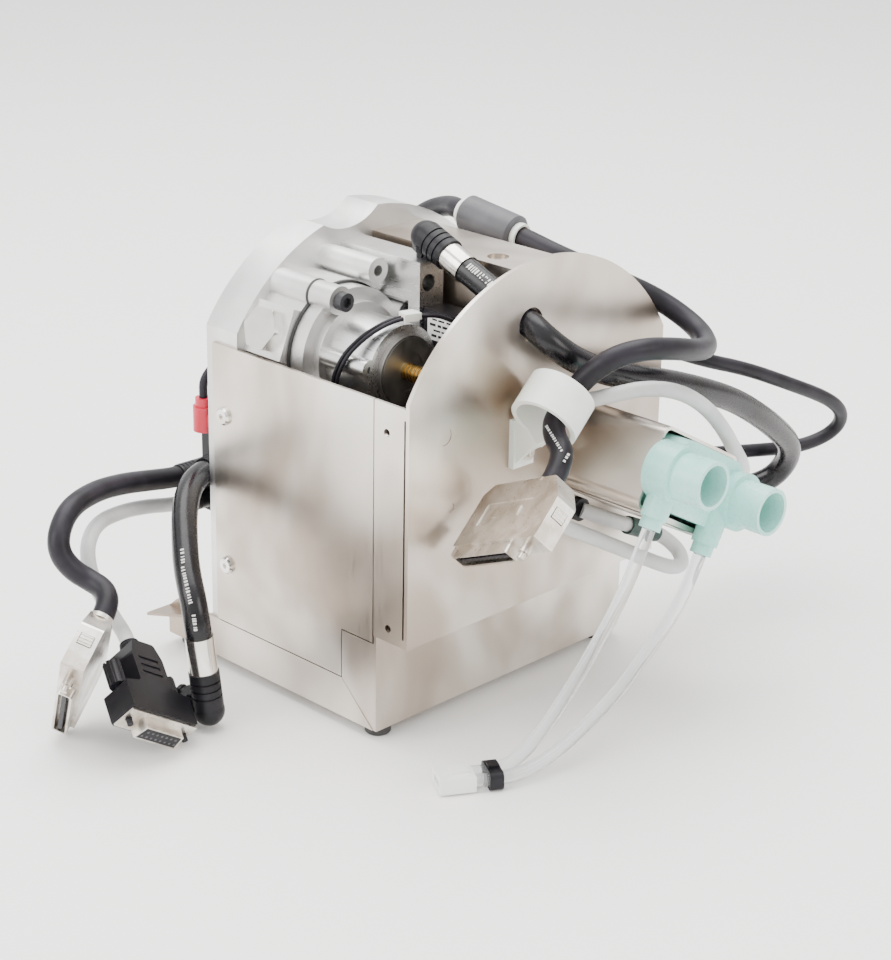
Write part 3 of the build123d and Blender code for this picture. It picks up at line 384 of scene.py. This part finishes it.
# ------------------------------------------------------------------ small pieces
def piece(name, build, finish, smooth=False):
    """Mesh piece in the CAD's frame; build fills a bmesh in millimetres."""
    mesh = bpy.data.meshes.new(name)
    bm = bmesh.new()
    build(bm)
    bmesh.ops.recalc_face_normals(bm, faces=bm.faces[:])
    bmesh.ops.scale(bm, vec=(MM, MM, MM), verts=bm.verts[:])
    bm.to_mesh(mesh)
    bm.free()
    for face in mesh.polygons:
        face.use_smooth = smooth
    obj = bpy.data.objects.new(name, mesh)
    bpy.context.scene.collection.objects.link(obj)
    obj.data.materials.append(M[finish])
    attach(obj, ROOT)
    return obj


def facing(origin, direction, across=None):
    """Matrix whose Z runs along the direction."""
    z = Vector(direction).normalized()
    side = Vector(across) if across else (Vector((0, 0, 1)) if abs(z.z) < 0.9 else Vector((1, 0, 0)))
    x = (side - z * side.dot(z)).normalized()
    y = z.cross(x)
    return Matrix.Translation(Vector(origin)) @ Matrix((x, y, z)).transposed().to_4x4()


def lathe(bm, profile, matrix, steps=40):
    """Spin a radius and height profile about the matrix's Z axis."""
    verts = [bm.verts.new((r, 0, h)) for r, h in profile]
    edges = [bm.edges.new(pair) for pair in zip(verts, verts[1:])]
    bmesh.ops.spin(bm, geom=verts + edges, cent=(0, 0, 0), axis=(0, 0, 1), angle=2 * math.pi, steps=steps,
                   use_merge=True)
    bmesh.ops.remove_doubles(bm, verts=bm.verts[:], dist=1e-5)
    bmesh.ops.transform(bm, matrix=matrix, verts=bm.verts[:])


def block(bm, matrix, size):
    """Plain block of the given size, centred on the matrix."""
    made = bmesh.ops.create_cube(bm, size=1.0)["verts"]
    bmesh.ops.scale(bm, vec=size, verts=made)
    bmesh.ops.transform(bm, matrix=matrix, verts=made)


BOOT_RINGS = 4


def boot(name, origin, direction, cord_r, foot_r, length):
    """Tapered strain relief with shallow rings."""
    profile = [(cord_r + 0.05, 0), (foot_r, 0)]
    for i in range(BOOT_RINGS):
        at = length * (0.2 + 0.8 * i / BOOT_RINGS)
        r = foot_r + (cord_r + 0.9 - foot_r) * at / length
        profile += [(r, at), (r - 0.5, at + 0.3), (r - 0.5, at + 0.9), (r - 0.1, at + 1.2)]
    profile += [(cord_r + 0.7, length), (cord_r + 0.05, length), (cord_r + 0.05, 0)]
    matrix = facing(origin, direction)
    piece(name, lambda bm: lathe(bm, profile, matrix), "black_plastic")


def first_run(points):
    """Way in which the cord leaves its start."""
    return Vector(points[1]) - Vector(points[0])


def last_run(points):
    """Way from the cord's end back along it."""
    return Vector(points[-2]) - Vector(points[-1])


boot("rear_cable_boot", CABLE_REAR[0], first_run(CABLE_REAR), CABLE_D / 2, 6.4, 11)
boot("rear_grey_boot", CABLE_GREY_REAR[0], first_run(CABLE_GREY_REAR), GREY_D / 2, 4.8, 9)
boot("rear_hose_boot", HOSE_REAR[0], first_run(HOSE_REAR), HOSE_D / 2, 7.2, 8)
boot("side_hose_boot", HOSE_FRONT[-1], last_run(HOSE_FRONT), HOSE_D / 2, 7.6, 10)
boot("side_cable_boot_high", CABLE_SIDE[0], first_run(CABLE_SIDE), GREY_D / 2, 5.2, 8)
boot("side_cable_boot_low", CABLE_SIDE[-1], last_run(CABLE_SIDE), GREY_D / 2, 5.2, 9)
boot("d_hood_boot", CABLE_GREY_REAR[-1], last_run(CABLE_GREY_REAR), GREY_D / 2, 5.0, 4)

SLEEVE_A, SLEEVE_B = Vector((50, 58, 205)), Vector((52, 20, 199))
sleeve_dir = (SLEEVE_B - SLEEVE_A).normalized()
band = [(5.1, -1.5), (6.2, -1.5), (6.4, 0), (6.2, 1.5), (5.1, 1.5), (5.1, -1.5)]
for tag, at in (("a", SLEEVE_A + sleeve_dir * 2.0), ("b", SLEEVE_B - sleeve_dir * 2.0)):
    spot = facing(at, sleeve_dir)
    piece("sleeve_band_" + tag, lambda bm: lathe(bm, band, spot), "white_nylon")

# step on the front of the motor's end cap
PUMP_X, PUMP_Z = -41, 159
pump_front = facing((PUMP_X, 1.45, PUMP_Z), (0, -1, 0))


def cap_ring(bm):
    lathe(bm, [(9.0, 0.0), (9.0, 0.35), (15.2, 0.35), (15.2, 0.0)], pump_front, 64)


piece("motor_cap_step", cap_ring, "dark_cast")

# white nut beside the brass fitting
nut_at = facing((PUMP_X, -10.7, PUMP_Z), (0, -1, 0))
nut_shape = [(2.8, 0), (4.6, 0), (4.8, 1.2), (4.6, 6.0), (2.8, 6.0), (2.8, 0)]
piece("tube_nut", lambda bm: lathe(bm, nut_shape, nut_at, 20), "white_nylon")

# valve label: a white sticker with plain bars
LABEL_PLACE, LABEL_SIZE = (-15.12, 2, 171.5), (0.16, 26, 12)
BAR_ROWS, BAR_PITCH, TOP_BAR_Z, BAR_X = 4, 2.5, 175.2, -15.24
label_at = Matrix.Translation(Vector(LABEL_PLACE))
piece("valve_label", lambda bm: block(bm, label_at, LABEL_SIZE), "label_white")
bars = random.Random(4)


def label_bars(bm):
    for row in range(BAR_ROWS):
        y = -9.5
        while y < 12:
            width = bars.uniform(1.2, 4.5)
            if y + width < 13.5:
                spot = Matrix.Translation(Vector((BAR_X, y + width / 2, TOP_BAR_Z - row * BAR_PITCH)))
                block(bm, spot, (0.1, width, 1.2 if row % 2 else 0.8))
            y += width + bars.uniform(0.6, 1.6)


piece("valve_label_bars", label_bars, "black_plastic")


# return spring over the valve plunger; the real spring shortens as the plunger rises, this one is built at
# one fixed length
VALVE_X, VALVE_Y = -8.6, -4.0
SPRING_FOOT, SPRING_TOP = 160, 172
SPRING_R, WIRE_R = 1.7, 0.35
SPRING_TURNS, SPRING_STEPS = 6, 120


def spring_wire(bm):
    wire = bmesh.ops.create_circle(bm, segments=10, radius=WIRE_R)["verts"]
    foot = Vector((VALVE_X + SPRING_R, VALVE_Y, SPRING_FOOT + WIRE_R))
    stand = Matrix.Translation(foot) @ Matrix.Rotation(math.pi / 2, 4, "X")
    bmesh.ops.transform(bm, matrix=stand, verts=wire)
    rise = (SPRING_TOP - SPRING_FOOT - 2 * WIRE_R) / SPRING_STEPS
    bmesh.ops.spin(bm, geom=wire + bm.edges[:], cent=(VALVE_X, VALVE_Y, 0), axis=(0, 0, 1),
                   angle=2 * math.pi * SPRING_TURNS, steps=SPRING_STEPS, dvec=(0, 0, rise))
    bmesh.ops.holes_fill(bm, edges=[e for e in bm.edges if e.is_boundary], sides=12)


spring = piece("spring_wire", spring_wire, "gear_steel", smooth=True)
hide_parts("valve_spring")
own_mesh(spring)

# small plug in the two leads over the motor
plug_at = Matrix.Translation(Vector((-37.5, 4.4, 183.0))) @ Matrix.Rotation(math.radians(-18), 4, "Z")
plug_shape = [((0, 0, 0), (7.0, 6.4, 3.6)), ((4.2, 0, 0), (1.6, 5.2, 2.8))]


def lead_plug(bm):
    for at, size in plug_shape:
        block(bm, plug_at @ Matrix.Translation(Vector(at)), size)


piece("lead_plug", lead_plug, "white_nylon")

# black contact block of the fifteen way connector
D_PLACE, D_AXIS, D_ACROSS = (-161.4, 33.2, 14.8), (0.334, 0.816, 0.469), (0.847, -0.044, -0.528)
CONTACT_PITCH, CONTACT_ROW, CONTACT_R = 2.77, 1.42, 0.6
d_frame = facing(D_PLACE, D_AXIS, D_ACROSS)


def prism(bm, outline, low, high, matrix):
    """Straight prism over an outline, between two heights."""
    floor_ring = [bm.verts.new((x, y, low)) for x, y in outline]
    top_ring = [bm.verts.new((x, y, high)) for x, y in outline]
    bm.faces.new(floor_ring)
    bm.faces.new(top_ring)
    for i in range(len(outline)):
        j = (i + 1) % len(outline)
        bm.faces.new((floor_ring[i], floor_ring[j], top_ring[j], top_ring[i]))
    bmesh.ops.transform(bm, matrix=matrix, verts=floor_ring + top_ring)


contact_outline = [(-10.2, -3.2), (10.2, -3.2), (11.4, 3.2), (-11.4, 3.2)]
piece("d_contact_block", lambda bm: prism(bm, contact_outline, -6.2, -5.9, d_frame), "black_plastic")


def contact_rings(bm):
    """Eight contacts in one row and seven in the other."""
    for row, count in ((CONTACT_ROW, 8), (-CONTACT_ROW, 7)):
        for k in range(count):
            x = (k - (count - 1) / 2) * CONTACT_PITCH
            spot = d_frame @ Matrix.Translation(Vector((x, row, -6.24)))
            bmesh.ops.create_cone(bm, cap_ends=True, segments=12, radius1=CONTACT_R, radius2=CONTACT_R,
                                  depth=0.12, matrix=spot)


piece("d_contact_rings", contact_rings, "grey_sleeve")

# dark sleeve on the far arm of the grey loop
loop_a, loop_b = Vector(CABLE_GREY_LOOP[-5]), Vector(CABLE_GREY_LOOP[-3])
loop_spot = facing(loop_a.lerp(loop_b, 0.12), loop_b - loop_a)
loop_shape = [(3.6, 0), (4.4, 0), (4.4, 21), (3.6, 21), (3.6, 0)]
piece("loop_sleeve", lambda bm: lathe(bm, loop_shape, loop_spot, 24), "dark_green")


# ------------------------------------------------------------------ printing on the hoses and cable, and painted highlights on the front hose
def along(points, distance):
    """Point and direction at a distance along the route."""
    left = distance
    for a, b in zip(points, points[1:]):
        a, b = Vector(a), Vector(b)
        if left <= (b - a).length:
            return a + (b - a).normalized() * left, (b - a).normalized()
        left -= (b - a).length
    return Vector(points[-1]), (Vector(points[-1]) - Vector(points[-2])).normalized()


def marks(name, points, radius, start, stop, side, tall, seed):
    """Rows of plain strokes lying on the hose, facing the side given."""
    pick = random.Random(seed)

    def build(bm):
        at = start
        while at < stop:
            width = pick.uniform(0.5, 1.0)
            spot, run = along(points, at)
            out = (Vector(side) - run * Vector(side).dot(run)).normalized()
            matrix = facing(spot + out * (radius - 0.05), out, run)
            block(bm, matrix, (width, tall * pick.uniform(0.8, 1.0), 0.3))
            at += width + pick.uniform(0.5, 1.1)

    piece(name, build, "print_and_painted_highlight_white")


# front hose: these white strokes near the elbow stand for highlight spots, a painted highlight, not print
marks("hose_front_print", HOSE_FRONT, HOSE_D / 2, 3, 24, (-0.55, -0.2, 0.8), 3.2, 3)
marks("hose_rear_print", HOSE_REAR, HOSE_D / 2, 68, 103, (-0.72, -0.65, 0.2), 1.8, 5)
marks("cable_front_print", CABLE_FRONT, CABLE_D / 2, 392, 414, (-0.75, -0.6, 0.3), 1.3, 8)

# ------------------------------------------------------------------ studio
floor_mesh = bpy.data.meshes.new("floor")
bm = bmesh.new()
bmesh.ops.create_grid(bm, x_segments=1, y_segments=1, size=40.0)
bm.to_mesh(floor_mesh)
bm.free()
floor = bpy.data.objects.new("floor", floor_mesh)
bpy.context.scene.collection.objects.link(floor)
floor_mat = bpy.data.materials.new("floor")
floor_mat.use_nodes = True
floor_bsdf = floor_mat.node_tree.nodes["Principled BSDF"]
floor_bsdf.inputs["Base Color"].default_value = (0.955, 0.95, 0.94, 1)
floor_bsdf.inputs["Roughness"].default_value = 0.55
floor_bsdf.inputs["Specular IOR Level"].default_value = 0.25
floor.data.materials.append(floor_mat)
floor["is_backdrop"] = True

world = bpy.data.worlds.new("studio")
world.use_nodes = True
bpy.context.scene.world = world
wn, wk = world.node_tree.nodes, world.node_tree.links
where = wn.new("ShaderNodeTexCoord")
dot = wn.new("ShaderNodeVectorMath")
dot.operation = "DOT_PRODUCT"
dot.inputs[1].default_value = (0.25, -0.55, -0.80)
ramp = wn.new("ShaderNodeValToRGB")
ramp.color_ramp.elements[0].position = 0.30
ramp.color_ramp.elements[0].color = (1.0, 1.0, 1.0, 1)
ramp.color_ramp.elements[1].position = 0.75
ramp.color_ramp.elements[1].color = (0.42, 0.38, 0.34, 1)
span = wn.new("ShaderNodeMapRange")
span.inputs["From Min"].default_value = -1.0
wk.new(where.outputs["Generated"], dot.inputs[0])
wk.new(dot.outputs["Value"], span.inputs["Value"])
wk.new(span.outputs["Result"], ramp.inputs["Fac"])
wk.new(ramp.outputs["Color"], wn["Background"].inputs["Color"])
wn["Background"].inputs["Strength"].default_value = 1.75


def softbox(name, at, aim, size, power, colour=(1, 1, 1)):
    data = bpy.data.lights.new(name, "AREA")
    data.shape = "RECTANGLE"
    data.size, data.size_y = size
    data.energy = power
    data.color = colour
    obj = bpy.data.objects.new(name, data)
    bpy.context.scene.collection.objects.link(obj)
    run = Vector(aim) - Vector(at)
    obj.matrix_world = Matrix.Translation(Vector(at)) @ run.to_track_quat("-Z", "Y").to_matrix().to_4x4()


softbox("top", (0.2, 0.3, 1.6), (0, 0, 0.1), (1.6, 1.6), 50, (1.0, 0.99, 0.97))
softbox("left", (-1.5, 0.5, 1.0), (0, 0, 0.1), (1.0, 1.2), 22, (1.0, 0.98, 0.95))
softbox("front", (0.3, -1.6, 0.9), (0, 0, 0.1), (0.8, 0.8), 11, (1.0, 0.97, 0.93))

last_bounds = plain(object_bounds())
